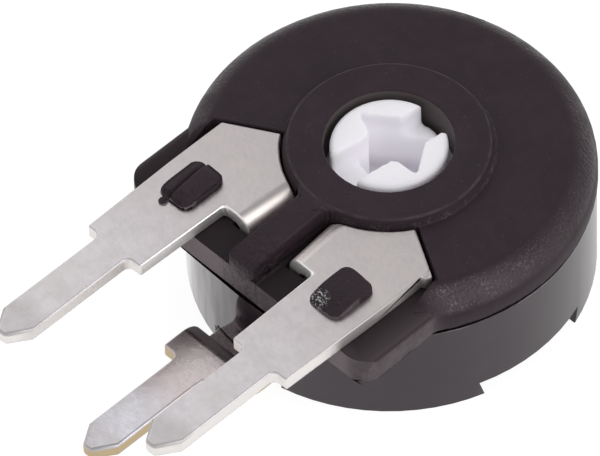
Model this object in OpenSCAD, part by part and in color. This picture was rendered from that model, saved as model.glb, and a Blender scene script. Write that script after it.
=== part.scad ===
// Trimmer potentiometer of the 10 mm carbon class, adjusted with a screwdriver from the front.
// Z is the rotor's axis, z = 0 is the plane of the rear housing's feet, and the pins point along -Y.

/* [Housings] */
// Diameter of the front housing's disc
front_d = 10.12; // [9.8:0.02:13]
// Step from the front housing in to the rear housing, on each side
rear_step = 0.03; // [0.02:0.01:0.1]
// Height from the feet to the top of the collar
total_h = 4.2; // [4:0.1:6]
// Height of the front housing, from the parting line to its disc
front_h = 1.05; // [0.95:0.01:1.4]
// Bevel of the rear housing's upper rim, which shows as a fine groove under the disc
rim_bevel = 0.05; // [0.02:0.01:0.1]
// Rounding of the disc's outer edge
edge_r = 0.75; // [0.2:0.05:0.8]
// Thickness of the roof under the terminal heads
roof_t = 0.48; // [0.3:0.02:0.6]
// Wall of the rear housing
wall_t = 0.55; // [0.5:0.05:0.7]
// Floor of the rear housing
floor_t = 0.5; // [0.4:0.05:0.6]
// Height of the four feet
foot_h = 0.46; // [0.36:0.02:0.54]
// Width of the feet, from the outer wall in
foot_w = 0.7; // [0.4:0.1:1.2]
// Half width of the gaps between the feet at the sides, at the top
side_gap = 1.67; // [1:0.01:2.4]
// How much narrower these gaps are on each side at the bottom
side_gap_lip = 0.13; // [0:0.01:0.2]
// Half angle of the gaps between the feet at the front and the back
front_gap_a = 13; // [13:1:20]

/* [Collar and rib] */
// Diameter of the hole for the rotor
hole_d = 3.2; // [3.1:0.02:3.4]
// Diameter of the collar at its top
collar_d = 5.0; // [4.4:0.1:6]
// Height of the collar above the disc
collar_h = 0.25; // [0.15:0.05:0.4]
// Slope of the collar's side, from top to foot
collar_flare = 0.1; // [0:0.02:0.2]
// Width of the rib between the end terminals
rib_w = 0.8; // [0.6:0.05:0.9]
// Fall of the rib from the collar to the front face
rib_fall = 0.15; // [0:0.05:0.2]
// Rounding where the rib leaves the collar
rib_root_r = 0.25; // [0.1:0.05:0.3]

/* [Terminal block] */
// Width of the block that holds the terminals
block_w = 8.54; // [8:0.1:10]
// How far the block's face stands in front of the rear housing
block_proud = 0.03; // [0.01:0.01:0.4]
// How far the block reaches below the disc at its front
block_deep = 0.14; // [0:0.01:0.2]
// Length of the soft ramp from the block up to the disc, outside the heads
ramp_l = 0.8; // [0.4:0.1:1]
// Radius of the block's right front corner, seen from above
block_r = 0.6; // [0.3:0.05:1]
// Radius of its left front corner
block_left_r = 1.0; // [0.3:0.05:1]
// Rounding of the block's upper side edges
block_edge_r = 0.25; // [0.1:0.05:0.5]

/* [Terminals] */
// Distance between the end terminals
pitch = 5.0; // [4.6:0.1:5.4]
// Thickness of the sheet
sheet_t = 0.4; // [0.3:0.02:0.5]
// Width of a terminal's leg
leg_w = 1.94; // [1.7:0.02:2.2]
// How much narrower an end terminal's leg is at its shoulders
leg_taper = 0.12; // [0:0.02:0.2]
// Width of a terminal's pin
pin_w = 1.0; // [0.8:0.05:1.2]
// Length of the leg, from the block's face to the shoulders
leg_out = 1.76; // [1.2:0.02:2.4]
// Length of the pin, from the shoulders to the tip
pin_len = 3.76; // [2.5:0.02:5]
// How much shorter the right pin is
right_short = 0.12; // [0:0.02:0.2]
// Length of the tapered tip
tip_len = 0.56; // [0.3:0.02:0.8]
// Width of the blunt end of the tip
tip_w = 0.3; // [0.1:0.02:0.5]
// Fillet between a shoulder and the pin
shoulder_r = 0.18; // [0.1:0.02:0.25]
// Level of the terminals' upper face above the disc
head_proud = 0.03; // [0:0.01:0.1]
// Distance of a head's outer corner behind the front, from the rotor's axis
corner_y = 2.28; // [2:0.02:2.6]
// How much further back the right head reaches than the left
right_back = 0.22; // [0:0.02:0.24]
// Size of the small ear at the right head's outer corner
ear = 0.16; // [0.04:0.02:0.2]
// Angle of a head's rear edge
head_a = 30; // [20:1:40]
// Distance of a head's front edge from the rotor's axis
head_y = 4.06; // [3.8:0.02:4.4]
// Inner radius of the bends in the sheet
bend_r = 0.1; // [0.05:0.01:0.2]
// Angle by which the bent tabs splay towards the front
splay_a = 5; // [0:1:8]
// Length of a bent tab's clinched foot
foot_len = 0.5; // [0.3:0.05:0.5]

/* [Wiper terminal] */
// Drop of the wiper terminal's pin below the end terminals' pins
pin_drop = 2.5; // [2:0.02:2.9]
// Inner radius of the bend between the blade and the riser
knee_r = 0.18; // [0.1:0.02:0.3]
// Gap between the rear housing and the riser
riser_gap = 0.52; // [0.4:0.02:1]
// Length of the wiper terminal's pin
wiper_pin_len = 3.5; // [2.5:0.02:5]
// Width of the wiper terminal's pin
wiper_pin_w = 1.0; // [0.8:0.05:1.2]
// Length of the blade from the knee to the shoulders
blade_len = 0.62; // [0.2:0.02:1]
// Outer diameter of the collector ring
collector_d = 5.5; // [5.1:0.1:5.8]
// Hole through the collector, in which the rotor's lower hub turns
collector_hole_d = 2.6; // [2.4:0.05:2.8]
// Height of the collector above the plane of the feet
collector_z = 0.14; // [0.1:0.02:0.2]

/* [Staking pegs] */
// Width of a peg's melted head
peg_w = 1.0; // [0.8:0.02:1.2]
// Length of a melted head
peg_l = 1.38; // [1:0.02:1.5]
// Corner radius of a melted head
peg_r = 0.26; // [0.16:0.02:0.36]
// How far a melted head reaches past its shank on each side
peg_lip = 0.08; // [0.06:0.01:0.12]
// Height of a melted head above the sheet
peg_h = 0.24; // [0.12:0.02:0.3]
// Bevel round the top of a melted head
peg_bevel = 0.07; // [0.02:0.01:0.1]
// Distance of the left peg from the rotor's axis
peg_y = 4.23; // [4:0.01:4.3]
// How much further back the right peg stands
right_peg_back = 0.14; // [0:0.02:0.24]
// Distance of the collector's peg from the rotor's axis
rear_peg_y = 3.55; // [3.3:0.05:4]

/* [Rotor] */
// Rotor's position, counted from the middle of its travel
rotor_a = -9; // [-110:1:110]
// Whole travel between the stops
travel_a = 235; // [200:5:260]
// Level of the rotor's top below the collar
rotor_low = 0.05; // [0:0.05:0.2]
// Rounding of the rotor's top edge
rotor_edge_r = 0.16; // [0.05:0.01:0.2]
// Width of the screwdriver slot
slot_w = 0.98; // [0.8:0.02:1.1]
// Depth of the screwdriver slot
slot_depth = 0.72; // [0.5:0.01:0.8]
// Half width of the arrow-shaped recess that points along the slot to the wiper
arrow_w = 1.21; // [1:0.01:1.25]
// Reach of the arrow's point
arrow_l = 1.24; // [1:0.02:1.25]
// Depth of the arrow-shaped recess
arrow_depth = 1.95; // [1.5:0.05:2.1]
// Half length of the driving hole below the arrow
drive_l = 0.62; // [0.5:0.02:0.7]
// Diameter of the rotor's flange, which holds it in the housing
flange_d = 4.2; // [3.8:0.1:4.4]
// Diameter of the rotor's disc
rotor_disc_d = 4.6; // [4:0.1:4.8]
// Thickness of the rotor's disc
rotor_disc_t = 0.6; // [0.5:0.05:0.7]
// Diameter of the rotor's lower hub
hub_d = 2.44; // [2.2:0.02:2.6]
// Reach of the rotor's stop lug
lug_r = 3.7; // [3.5:0.05:3.8]
// Half angle of the stop lug
lug_a = 12; // [8:1:16]

/* [Resistive board and wiper] */
// Thickness of the board
board_t = 0.5; // [0.4:0.05:0.6]
// Inner diameter of the board
board_in_d = 4.8; // [4.6:0.1:5.2]
// Thickness of the printed track
track_t = 0.05; // [0.02:0.01:0.06]
// Inner radius of the printed track
track_in_r = 2.95; // [2.8:0.05:3]
// Width of the printed track
track_w = 0.9; // [0.7:0.05:1]
// Width of the gap between the track's ends
track_gap = 0.7; // [0.6:0.05:0.8]
// Thickness of the wiper spring
spring_t = 0.12; // [0.08:0.01:0.15]
// Width of the wiper spring's outer arm
arm_w = 1.0; // [0.8:0.05:1.1]
// Height of a brush's curved tip
brush_h = 0.19; // [0.15:0.01:0.25]
// Width of the slit between its two brushes
brush_slit = 0.2; // [0.1:0.05:0.3]
// Width of the inner tongues
tongue_w = 0.5; // [0.4:0.05:0.6]

/* [Clearances] */
// Gap between a head's rear edge and the disc
pocket_gap = 0.09; // [0.04:0.01:0.15]
// Gap round pegs, tabs and other things pushed through a slot
push_gap = 0.05; // [0.03:0.01:0.1]
// Radial running clearance of the rotor's top
run_gap = 0.08; // [0.03:0.01:0.1]
// Radial gap round the rotor's top, in the collar
top_gap = 0.15; // [0.03:0.01:0.18]
// Clearance of parts that press together
snug = 0.02; // [0.01:0.01:0.04]
// Gap between a brush and what it slides on
brush_gap = 0.04; // [0.02:0.01:0.06]
// Play of the stop lug at each end of its travel
stop_play = 0.5; // [0.2:0.1:1]

/* [Hidden] */
$fn = 96;

eps = 0.01;
far = 20;
black = [0.16, 0.15, 0.16];
white = [0.93, 0.93, 0.92];
tin = [0.78, 0.77, 0.76];

// Radii and levels, from the driving sizes
front_r = front_d / 2;
rear_r = front_r - rear_step;
collar_r = collar_d / 2;
collar_foot_r = collar_r + collar_flare;
hole_r = hole_d / 2;
block_y = rear_r + block_proud;
disc_z = total_h - collar_h;
part_z = disc_z - front_h;
head_z = disc_z + head_proud;
block_z = head_z - sheet_t;
roof_z = block_z - roof_t;
board_z = roof_z - board_t;
track_z = board_z - track_t;
floor_z = foot_h + floor_t;
collector_top = collector_z + sheet_t;
blade_z = head_z - pin_drop;

// Plan of the end terminals
leg_x = pitch / 2;
head_out = leg_x + leg_w / 2;
leg_in = leg_x - leg_w / 2;
head_arc_r = collar_foot_r + 0.06;
tab_x = rib_w / 2 + 0.12;
tab_y = collar_r;
shoulder_y = block_y + leg_out;
bend_out_r = bend_r + sheet_t;
tab_slot_w = sheet_t + bend_r + 2 * push_gap;

// Inside of the housings
cup_r = rear_r - wall_t;
board_r = cup_r + 0.15;
spigot_in_r = board_r + push_gap;
spigot_out_r = spigot_in_r + 0.22;
spigot_z = roof_z - 0.1;
key_w = track_gap - 2 * push_gap;

// Rotor and wiper
rotor_top_r = hole_r - top_gap;
rotor_top_z = total_h - rotor_low;
flange_z = roof_z - run_gap;
spring_z = track_z - brush_gap - brush_h - spring_t - rotor_disc_t;
disc_top_z = spring_z + rotor_disc_t;
hub_z = 0.08;
brush_r = track_in_r + track_w / 2;
stop_a = 180 - travel_a / 2 - lug_a - stop_play;
stop_z = track_z - snug - sheet_t - run_gap;
stop_in_r = rotor_disc_d / 2 + 0.6;
tongue_x = hub_d / 2 + 0.23;
tongue_half = 0.85;

// Copies the children to both sides of the rotor's axis
module both_sides() {
    children();
    mirror([1, 0, 0]) children();
}

// Draws an outline of the XZ plane as a bar along -Y
module bar(length) {
    rotate([90, 0, 0]) linear_extrude(length) children();
}

// Rectangle with round corners, centred
module round_rect(w, l, r) {
    square([w - 2 * r, l], center = true);
    square([w, l - 2 * r], center = true);
    for (x = [-1, 1], y = [-1, 1])
        translate([x * (w / 2 - r), y * (l / 2 - r)]) circle(r);
}

// Quarter of a disc, in the first quadrant, for round edges
module quarter(r) {
    intersection() {
        circle(r);
        square(r);
    }
}

// Endless block from the origin into the first quadrant, with its corner rounded
module corner_block(r) {
    translate([r, 0]) square(far);
    translate([0, r]) square(far);
    translate([r, r]) circle(r);
}

// Sheet bent round the origin's corner, with its two straight sides endless
module bend(inner) {
    difference() {
        corner_block(inner + sheet_t);
        translate([sheet_t, sheet_t]) corner_block(inner);
    }
}

// Sector of a ring round the rotor's axis, centred on an angle; its half angle is below 90
module sector(r0, r1, mid, half) {
    reach = 2 * r1;
    difference() {
        intersection() {
            circle(r1);
            rotate(mid)
                polygon([[0, 0], reach * [cos(half), -sin(half)], [reach, 0],
                         reach * [cos(half), sin(half)]]);
        }
        circle(r0);
    }
}

// Frame of a bent tab: its origin is the tab's inner face at the collar, and it splays with the tab
module tab_frame() {
    translate([tab_x, -tab_y, 0]) rotate(splay_a) children();
}

// ---------- front housing ----------

module disc_body() {
    rotate_extrude()
        union() {
            translate([0, part_z]) square([front_r, front_h - edge_r]);
            translate([0, part_z]) square([front_r - edge_r, front_h]);
            translate([front_r - edge_r, disc_z - edge_r]) quarter(edge_r);
        }
}

module block_body() {
    side = block_w / 2;
    low = part_z - block_deep;
    high = block_z - low;
    intersection() {
        translate([0, 0, low]) linear_extrude(high)
            union() {
                translate([-side, block_left_r - block_y]) square([side, block_y - block_left_r]);
                translate([block_left_r - side, -block_y]) square([side - block_left_r, block_y]);
                translate([block_left_r - side, block_left_r - block_y]) circle(block_left_r);
                translate([-0.1, block_r - block_y]) square([side + 0.1, block_y - block_r]);
                translate([-0.1, -block_y]) square([side + 0.1 - block_r, block_y]);
                translate([side - block_r, block_r - block_y]) circle(block_r);
            }
        bar(far)
            union() {
                translate([-side, low]) square([block_w, high - block_edge_r]);
                translate([block_edge_r - side, low]) square([block_w - 2 * block_edge_r, high]);
                both_sides()
                    translate([side - block_edge_r, block_z - block_edge_r]) quarter(block_edge_r);
            }
        // Its underside falls from the disc's lower edge to the front
        rotate([90, 0, 90]) translate([0, 0, -far / 2]) linear_extrude(far)
            polygon([[-block_y - 1, low - block_deep / 2], [-block_y / 2, part_z], [far, part_z],
                     [far, far], [-block_y - 1, far]]);
    }
}

module collar_body() {
    rotate_extrude()
        polygon([[0, roof_z], [collar_foot_r, roof_z], [collar_foot_r, disc_z],
                 [collar_r, total_h], [0, total_h]]);
}

// Plan of the rib, with a fillet on each side where it leaves the collar
module rib_plan() {
    half = rib_w / 2;
    cx = half + rib_root_r;
    cy = sqrt(pow(collar_foot_r + rib_root_r, 2) - cx * cx);
    k = collar_foot_r / (collar_foot_r + rib_root_r);
    translate([-half, -block_y]) square([rib_w, block_y]);
    both_sides()
        difference() {
            polygon([[0, 0], [0, -cy], [half, -cy], [cx, -cy], k * [cx, -cy]]);
            translate([cx, -cy]) circle(rib_root_r);
        }
}

module rib_body() {
    intersection() {
        translate([0, 0, part_z]) linear_extrude(total_h - part_z) rib_plan();
        rotate([90, 0, 90]) translate([0, 0, -far / 2]) linear_extrude(far)
            polygon([[0, part_z], [0, total_h], [-collar_r, total_h],
                     [-block_y, total_h - rib_fall], [-block_y, part_z]]);
    }
}

// Everything on the right in front of a head's rear edge, up to the collar and the rib
module ahead_plan(back) {
    side = far / 2;
    edge = back - corner_y + pocket_gap / cos(head_a) + (head_out - side) * tan(head_a);
    difference() {
        polygon([[0, edge + side * tan(head_a)], [0, -far], [side, -far], [side, edge]]);
        circle(collar_foot_r);
        rib_plan();
    }
}

// Ramp on the right that stays outside a head, seen from the side as a soft S
module ramp(back) {
    steps = 10;
    start = head_out + ear + pocket_gap;
    edge = back - corner_y + pocket_gap / cos(head_a) + (head_out - start) * tan(head_a);
    rise = disc_z - block_z;
    intersection() {
        translate([start, edge, 0]) rotate([90, 0, 90 - head_a])
            translate([0, 0, -far]) linear_extrude(2 * far)
                polygon([[1, 0], [1, disc_z],
                         for (i = [steps:-1:0])
                             [(i / steps - 1) * ramp_l, block_z + rise * (1 - cos(180 * i / steps)) / 2],
                         [-ramp_l, 0]]);
        translate([start, -far, 0]) cube([far, 2 * far, far]);
    }
}

// What a head needs on the right: the level ground it lies on, and the tab's slot
module head_room(back) {
    difference() {
        translate([0, 0, block_z]) linear_extrude(far) ahead_plan(back);
        ramp(back);
    }
    difference() {
        translate([0, 0, part_z - 1]) linear_extrude(far) tab_slot_plan();
        translate([0, 0, part_z - 2]) linear_extrude(far)
            union() {
                circle(collar_foot_r);
                rib_plan();
            }
    }
}

// Slot through the roof for a bent tab
module tab_slot_plan() {
    tab_frame()
        translate([-push_gap, -(head_y - tab_y) - 0.1])
            square([tab_slot_w, head_y - tab_y + 0.3]);
}

module peg_plan(back, extra) {
    translate([leg_x, back - peg_y])
        round_rect(peg_w + 2 * extra, peg_l + 2 * extra, peg_r + extra);
}

// Peg on the right: its shank, and its melted head with a bevel round the top
module peg(back) {
    translate([0, 0, block_z - eps]) linear_extrude(sheet_t + 2 * eps) peg_plan(back, -peg_lip);
    translate([0, 0, head_z]) {
        linear_extrude(peg_h - peg_bevel) peg_plan(back, 0);
        linear_extrude(peg_h - peg_bevel / 2) peg_plan(back, -0.35 * peg_bevel);
        linear_extrude(peg_h) peg_plan(back, -peg_bevel);
    }
}

module front_housing() {
    color(black) {
        difference() {
            union() {
                disc_body();
                block_body();
                collar_body();
                rib_body();
            }
            head_room(right_back);
            mirror([1, 0, 0]) head_room(0);
            cylinder(h = far, r = hole_r);
            cylinder(h = part_z, r = rear_r + snug);
            translate([0, 0, part_z - eps]) cylinder(h = roof_z - part_z + eps, r = spigot_in_r);
            translate([0, 0, part_z - eps])
                cylinder(h = spigot_z + snug - part_z + eps, r = spigot_out_r + snug);
        }
        peg(right_peg_back);
        mirror([1, 0, 0]) peg(0);
        // Key that fills the board's gap and keeps the board from turning
        translate([-key_w / 2, -board_r + push_gap, board_z])
            cube([key_w, board_r - push_gap - board_in_d / 2, roof_z - board_z + eps]);
    }
}

// ---------- rear housing ----------

// Cup on a round foot, with a way through its floor for the rotor and a recess for the collector
module cup_body() {
    way_r = collector_d / 2 - 0.45;
    recess_r = collector_d / 2 + push_gap;
    rotate_extrude()
        polygon([[way_r, collector_top], [recess_r, collector_top], [recess_r, foot_h],
                 [rear_r - foot_w, foot_h], [rear_r - foot_w, 0], [rear_r, 0],
                 [rear_r, part_z - rim_bevel], [rear_r - rim_bevel, part_z], [spigot_out_r, part_z],
                 [spigot_out_r, spigot_z], [spigot_in_r, spigot_z], [spigot_in_r, board_z],
                 [cup_r, board_z], [cup_r, floor_z], [way_r, floor_z]]);
}

// Gaps that part the round foot into four
module foot_gaps() {
    for (a = [90, 270])
        translate([0, 0, -eps]) linear_extrude(foot_h + eps)
            sector(cup_r / 2, front_r + 1, a, front_gap_a);
    rotate([90, 0, 90]) translate([0, 0, -far / 2]) linear_extrude(far)
        polygon([[-side_gap, foot_h], [side_gap_lip - side_gap, -eps],
                 [side_gap - side_gap_lip, -eps], [side_gap, foot_h]]);
}

module rear_housing() {
    exit_w = leg_w + 2 * push_gap;
    color(black) {
        difference() {
            cup_body();
            foot_gaps();
            // Channel for the collector's strip, a little higher through the wall
            translate([-exit_w / 2, -far, -eps]) cube([exit_w, far, collector_top + eps]);
            translate([-exit_w / 2, -far, -eps])
                cube([exit_w, far - cup_r, collector_top + push_gap + eps]);
        }
        // Peg that holds the collector
        translate([0, -rear_peg_y, collector_z - 0.08]) linear_extrude(floor_z - collector_z)
            round_rect(peg_w, 0.8, 0.2);
        // Stop block, between the ends of the rotor's travel
        translate([0, 0, floor_z - eps]) linear_extrude(stop_z - floor_z + eps)
            sector(stop_in_r, cup_r + eps, -90, stop_a);
    }
}

// ---------- rotor ----------

// Arrow-shaped recess, with its point along +Y
module arrow_plan() {
    half = slot_w / 2;
    polygon([[0, arrow_l], [-arrow_w, -0.04], [-half - 0.13, -0.16], [-half, -0.28],
             [half, -0.28], [half + 0.13, -0.16], [arrow_w, -0.04]]);
}

module rotor_body() {
    rotate_extrude()
        union() {
            translate([0, hub_z]) square([hub_d / 2, rotor_top_z - hub_z]);
            translate([0, spring_z]) square([rotor_disc_d / 2, rotor_disc_t]);
            translate([0, spring_z]) square([flange_d / 2, flange_z - spring_z]);
            translate([0, spring_z]) square([rotor_top_r, rotor_top_z - rotor_edge_r - spring_z]);
            translate([0, spring_z]) square([rotor_top_r - rotor_edge_r, rotor_top_z - spring_z]);
            translate([rotor_top_r - rotor_edge_r, rotor_top_z - rotor_edge_r])
                quarter(rotor_edge_r);
        }
}

module rotor() {
    color(white)
        rotate(rotor_a)
            difference() {
                union() {
                    rotor_body();
                    translate([0, 0, spring_z]) linear_extrude(rotor_disc_t)
                        sector(hub_d / 2, lug_r, 90, lug_a);
                }
                translate([-slot_w / 2, -far / 2, rotor_top_z - slot_depth])
                    cube([slot_w, far, far]);
                translate([0, 0, rotor_top_z - arrow_depth]) linear_extrude(far) arrow_plan();
                translate([0, 0, -eps]) linear_extrude(far) round_rect(slot_w - 0.06, 2 * drive_l, 0.1);
            }
}

// ---------- wiper spring ----------

// Side view of the outer arm, which wraps the stop lug and ends in a brush under the track
module arm_outline() {
    in_r = rotor_disc_t / 2;
    mid = spring_z + in_r;
    out_r = in_r + spring_t;
    top = mid + in_r;
    translate([hub_d / 2 + push_gap, spring_z - spring_t]) square([lug_r - hub_d / 2, spring_t]);
    difference() {
        translate([lug_r + push_gap, mid]) circle(out_r);
        translate([lug_r + push_gap, mid]) circle(in_r);
        translate([lug_r + push_gap - far, mid - far / 2]) square([far, far]);
    }
    translate([brush_r - 0.3, top]) square([lug_r + push_gap - brush_r + 0.3, spring_t]);
    difference() {
        translate([brush_r, top + spring_t]) circle(brush_h);
        translate([brush_r, top + spring_t]) circle(brush_h - spring_t);
        translate([brush_r - 1, top + spring_t - 2]) square([2, 2]);
    }
}

// Side view of an inner tongue, which reaches down to the collector
module tongue_outline() {
    tip = [tongue_half - 0.15, collector_top + brush_gap + 0.11];
    root = [-tongue_half, spring_z - spring_t];
    polygon([root, root + [0.35, 0], tip + [-0.1, -0.05], tip + [0.05, 0.1],
             root + [0.4, spring_t], root + [0, spring_t]]);
    translate(tip) circle(0.11);
}

module wiper_spring() {
    color(tin)
        rotate(rotor_a) {
            translate([0, 0, spring_z - spring_t]) linear_extrude(spring_t)
                difference() {
                    circle(rotor_disc_d / 2 - 0.2);
                    circle(hub_d / 2 + push_gap);
                }
            for (side = [0, 180])
                rotate(side)
                    translate([0, -tongue_x, 0]) bar(tongue_w) tongue_outline();
            difference() {
                translate([arm_w / 2, 0, 0]) rotate([90, 0, -90])
                    mirror([1, 0, 0]) linear_extrude(arm_w) arm_outline();
                translate([-brush_slit / 2, brush_r - 0.6, disc_top_z])
                    cube([brush_slit, 0.9, far]);
            }
        }
}

// ---------- resistive board ----------

module resistive_board() {
    color([0.45, 0.32, 0.2])
        difference() {
            union() {
                translate([0, 0, board_z]) linear_extrude(board_t)
                    difference() {
                        circle(board_r);
                        circle(d = board_in_d);
                    }
                translate([0, 0, track_z]) linear_extrude(track_t + eps)
                    difference() {
                        circle(track_in_r + track_w);
                        circle(track_in_r);
                    }
            }
            translate([-track_gap / 2, -far, 0]) cube([track_gap, far, far]);
            both_sides()
                translate([0, 0, track_z - eps]) linear_extrude(far)
                    tab_frame()
                        translate([-push_gap, -(head_y - tab_y) - push_gap])
                            square([tab_slot_w, head_y - tab_y + 0.4]);
        }
}

// ---------- end terminals ----------

// Leg, shoulders, pin and tapered tip, centred on X, from the leg's rear end at y0
module lead_plan(y0, shoulder, length, taper, wide) {
    tip = shoulder + length;
    root = leg_w / 2;
    end = root - taper / 2;
    half = wide / 2;
    polygon([[root, -y0], [-root, -y0], [-end, -shoulder], [end, -shoulder]]);
    polygon([[half, 0.1 - shoulder], [-half, 0.1 - shoulder], [-half, tip_len - tip],
             [-tip_w / 2, -tip], [tip_w / 2, -tip], [half, tip_len - tip]]);
    both_sides()
        difference() {
            translate([half - 0.1, -shoulder - shoulder_r])
                square([shoulder_r + 0.1, shoulder_r + 0.1]);
            translate([half + shoulder_r, -shoulder - shoulder_r]) circle(shoulder_r);
        }
}

// Plan of an end terminal on the right, as if its tab were flat
module terminal_plan(back, short) {
    corner = back - corner_y;
    polygon([[0, -head_y], [head_out, -head_y], [head_out, corner],
             [0, corner + head_out * tan(head_a)]]);
    translate([leg_x, 0]) lead_plan(head_y, shoulder_y, pin_len - short, leg_taper, pin_w);
}

// Side view of the sheet: the flat, the bend, the web through the roof and the clinched foot
module tab_section() {
    foot_z = track_z - snug;
    mid = (foot_z + block_z) / 2;
    intersection() {
        translate([0, head_z]) mirror([0, 1]) bend(bend_r);
        translate([0, mid - 0.1]) square(2 * far);
    }
    intersection() {
        translate([0, foot_z - sheet_t]) bend(bend_r);
        square([bend_out_r + foot_len, mid + 0.1]);
    }
}

module end_terminal(back, peg_back, short) {
    color(tin)
        difference() {
            intersection() {
                tab_frame() translate([0, far, 0]) bar(2 * far) tab_section();
                linear_extrude(far) terminal_plan(back, short);
            }
            cylinder(h = far, r = head_arc_r);
            translate([0, 0, block_z - eps]) linear_extrude(far) peg_plan(peg_back, push_gap - peg_lip);
            // The foot ends with the head
            translate([0, -far - head_y, 0]) cube([far, far, block_z - sheet_t / 2]);
        }
}

module right_terminal() {
    end_terminal(right_back, right_peg_back, right_short);
    color(tin)
        translate([0, 0, block_z]) linear_extrude(sheet_t)
            polygon([[head_out - 0.1, right_back - corner_y - 0.34], [head_out, right_back - corner_y - 0.3],
                     [head_out + 0.6 * ear, right_back - corner_y - 0.24],
                     [head_out + ear, right_back - corner_y - ear * tan(head_a)],
                     [head_out - 0.1, right_back - corner_y + 0.1 * tan(head_a)]]);
}

module left_terminal() {
    mirror([1, 0, 0]) end_terminal(0, 0, 0);
}

// ---------- wiper terminal ----------

// Side view of the sheet with -Y to the right: collector, riser, knee and blade
module riser_section() {
    mid = (collector_top + blade_z - sheet_t) / 2;
    riser_y = rear_r + riser_gap;
    intersection() {
        translate([riser_y + sheet_t, collector_z]) mirror([1, 0]) bend(knee_r);
        translate([-far / 2, 0]) square([far, mid + 0.1]);
    }
    intersection() {
        translate([riser_y, blade_z]) mirror([0, 1]) bend(knee_r);
        translate([0, mid - 0.1]) square(far);
    }
}

module wiper_terminal() {
    knee_y = rear_r + riser_gap + knee_r + sheet_t;
    color(tin)
        difference() {
            intersection() {
                translate([far / 2, 0, 0]) rotate([90, 0, -90]) linear_extrude(far) riser_section();
                linear_extrude(far)
                    union() {
                        circle(d = collector_d);
                        lead_plan(collector_d / 4, knee_y + blade_len, wiper_pin_len, 0, wiper_pin_w);
                    }
            }
            translate([0, 0, -eps]) cylinder(h = far, d = collector_hole_d);
            translate([0, -rear_peg_y, -eps]) linear_extrude(far)
                round_rect(peg_w + 2 * push_gap, 0.8 + 2 * push_gap, 0.2 + push_gap);
        }
}

front_housing();
rear_housing();
rotor();
wiper_spring();
resistive_board();
left_terminal();
right_terminal();
wiper_terminal();
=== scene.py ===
"""Trimmer potentiometer: a round black case with a white rotor and three tinned terminals, in metres."""

import math

import bmesh
import bpy
from mathutils import Matrix, Vector, noise as field


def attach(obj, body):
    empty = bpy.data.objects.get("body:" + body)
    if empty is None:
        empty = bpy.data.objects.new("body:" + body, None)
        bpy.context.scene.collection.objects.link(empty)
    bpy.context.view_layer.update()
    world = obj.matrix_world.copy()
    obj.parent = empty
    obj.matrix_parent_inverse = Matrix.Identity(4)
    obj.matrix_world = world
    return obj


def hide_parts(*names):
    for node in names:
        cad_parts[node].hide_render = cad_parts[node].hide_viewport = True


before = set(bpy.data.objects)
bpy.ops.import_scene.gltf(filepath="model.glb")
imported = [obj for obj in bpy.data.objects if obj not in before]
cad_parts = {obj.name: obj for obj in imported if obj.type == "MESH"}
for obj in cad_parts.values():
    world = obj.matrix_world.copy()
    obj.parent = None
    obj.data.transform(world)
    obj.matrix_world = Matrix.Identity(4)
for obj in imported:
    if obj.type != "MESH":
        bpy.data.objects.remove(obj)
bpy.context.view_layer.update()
bpy.ops.object.select_all(action="DESELECT")

# ---------- driving sizes ----------

# Sizes are in millimetres unless a function says otherwise, and this turns them into metres
MM = 0.001

# Sizes of the CAD pieces: radii are from the rotor's axis, heights from the feet, and y from the axis,
# with the pins at negative y
DISC_R, DISC_TOP = 5.06, 3.95
COLLAR_R, COLLAR_FOOT_R, COLLAR_TOP = 2.5, 2.6, 4.2
HOLE_R = 1.6
RIB_HALF_W = 0.4
BLOCK_TOP, BLOCK_HALF_W, BLOCK_FRONT_Y = 3.58, 4.27, -5.06
SHEET_TOP, LOW_SHEET_BOTTOM = 3.98, 1.08
PIN_END_Y = -10.58
TRACK_BOTTOM, TRACK_IN_R, TRACK_OUT_R = 2.59, 2.95, 3.85

# The joint between the two housings is level, and slopes down in front of this y
JOINT_Z, JOINT_SLOPE, JOINT_BREAK_Y = 2.9, 0.0595, -2.53

# The pegs' melted heads: their middles, half width, half length and height over the sheet
PEG_X, LEFT_PEG_Y, RIGHT_PEG_Y = 2.5, -4.23, -4.09
PEG_HALF_W, PEG_HALF_L, PEG_H = 0.5, 0.69, 0.24

# What the lamps and the camera are placed from
AXIS_TOP = Vector((0, 0, SHEET_TOP * MM))


# ---------- shader helpers ----------


def put(tree, kind, inputs=None, **settings):
    """A new shader node, with its settings and its inputs given as values or as sockets to link."""
    made = tree.nodes.new(kind)
    for key, value in settings.items():
        setattr(made, key, value)
    for key, value in (inputs or {}).items():
        set_socket(tree, made.inputs[key], value)
    return made


def set_socket(tree, socket, value):
    """Links a socket to another one, or gives it a value."""
    if isinstance(value, bpy.types.NodeSocket):
        tree.links.new(value, socket)
    else:
        socket.default_value = value


def calc(tree, operation, *values):
    """The result of one Math node."""
    return put(tree, "ShaderNodeMath", dict(enumerate(values)), operation=operation).outputs[0]


def chain(tree, operation, values):
    """The values taken together by one Math operation."""
    result = values[0]
    for value in values[1:]:
        result = calc(tree, operation, result, value)
    return result


def both(tree, *masks):
    """Where every mask holds; a number among them weakens the result."""
    return chain(tree, "MULTIPLY", masks)


def either(tree, *masks):
    """Where any of the masks holds."""
    return chain(tree, "MAXIMUM", masks)


def total(tree, *values):
    """The sum of the values."""
    return chain(tree, "ADD", values)


def size_of(tree, value):
    """The value without its sign."""
    return calc(tree, "ABSOLUTE", value)


def ramp(tree, value, start, end, low=0.0, high=1.0):
    """Goes smoothly from low to high while the value goes from start to end."""
    inputs = {"Value": value, "From Min": start, "From Max": end, "To Min": low, "To Max": high}
    return put(tree, "ShaderNodeMapRange", inputs, interpolation_type="SMOOTHSTEP").outputs[0]


def band(tree, value, start, full, fade, end):
    """Rises from 0 at start to 1 at full, and falls from 1 at fade to 0 at end."""
    return both(tree, ramp(tree, value, start, full), ramp(tree, value, end, fade))


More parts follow.
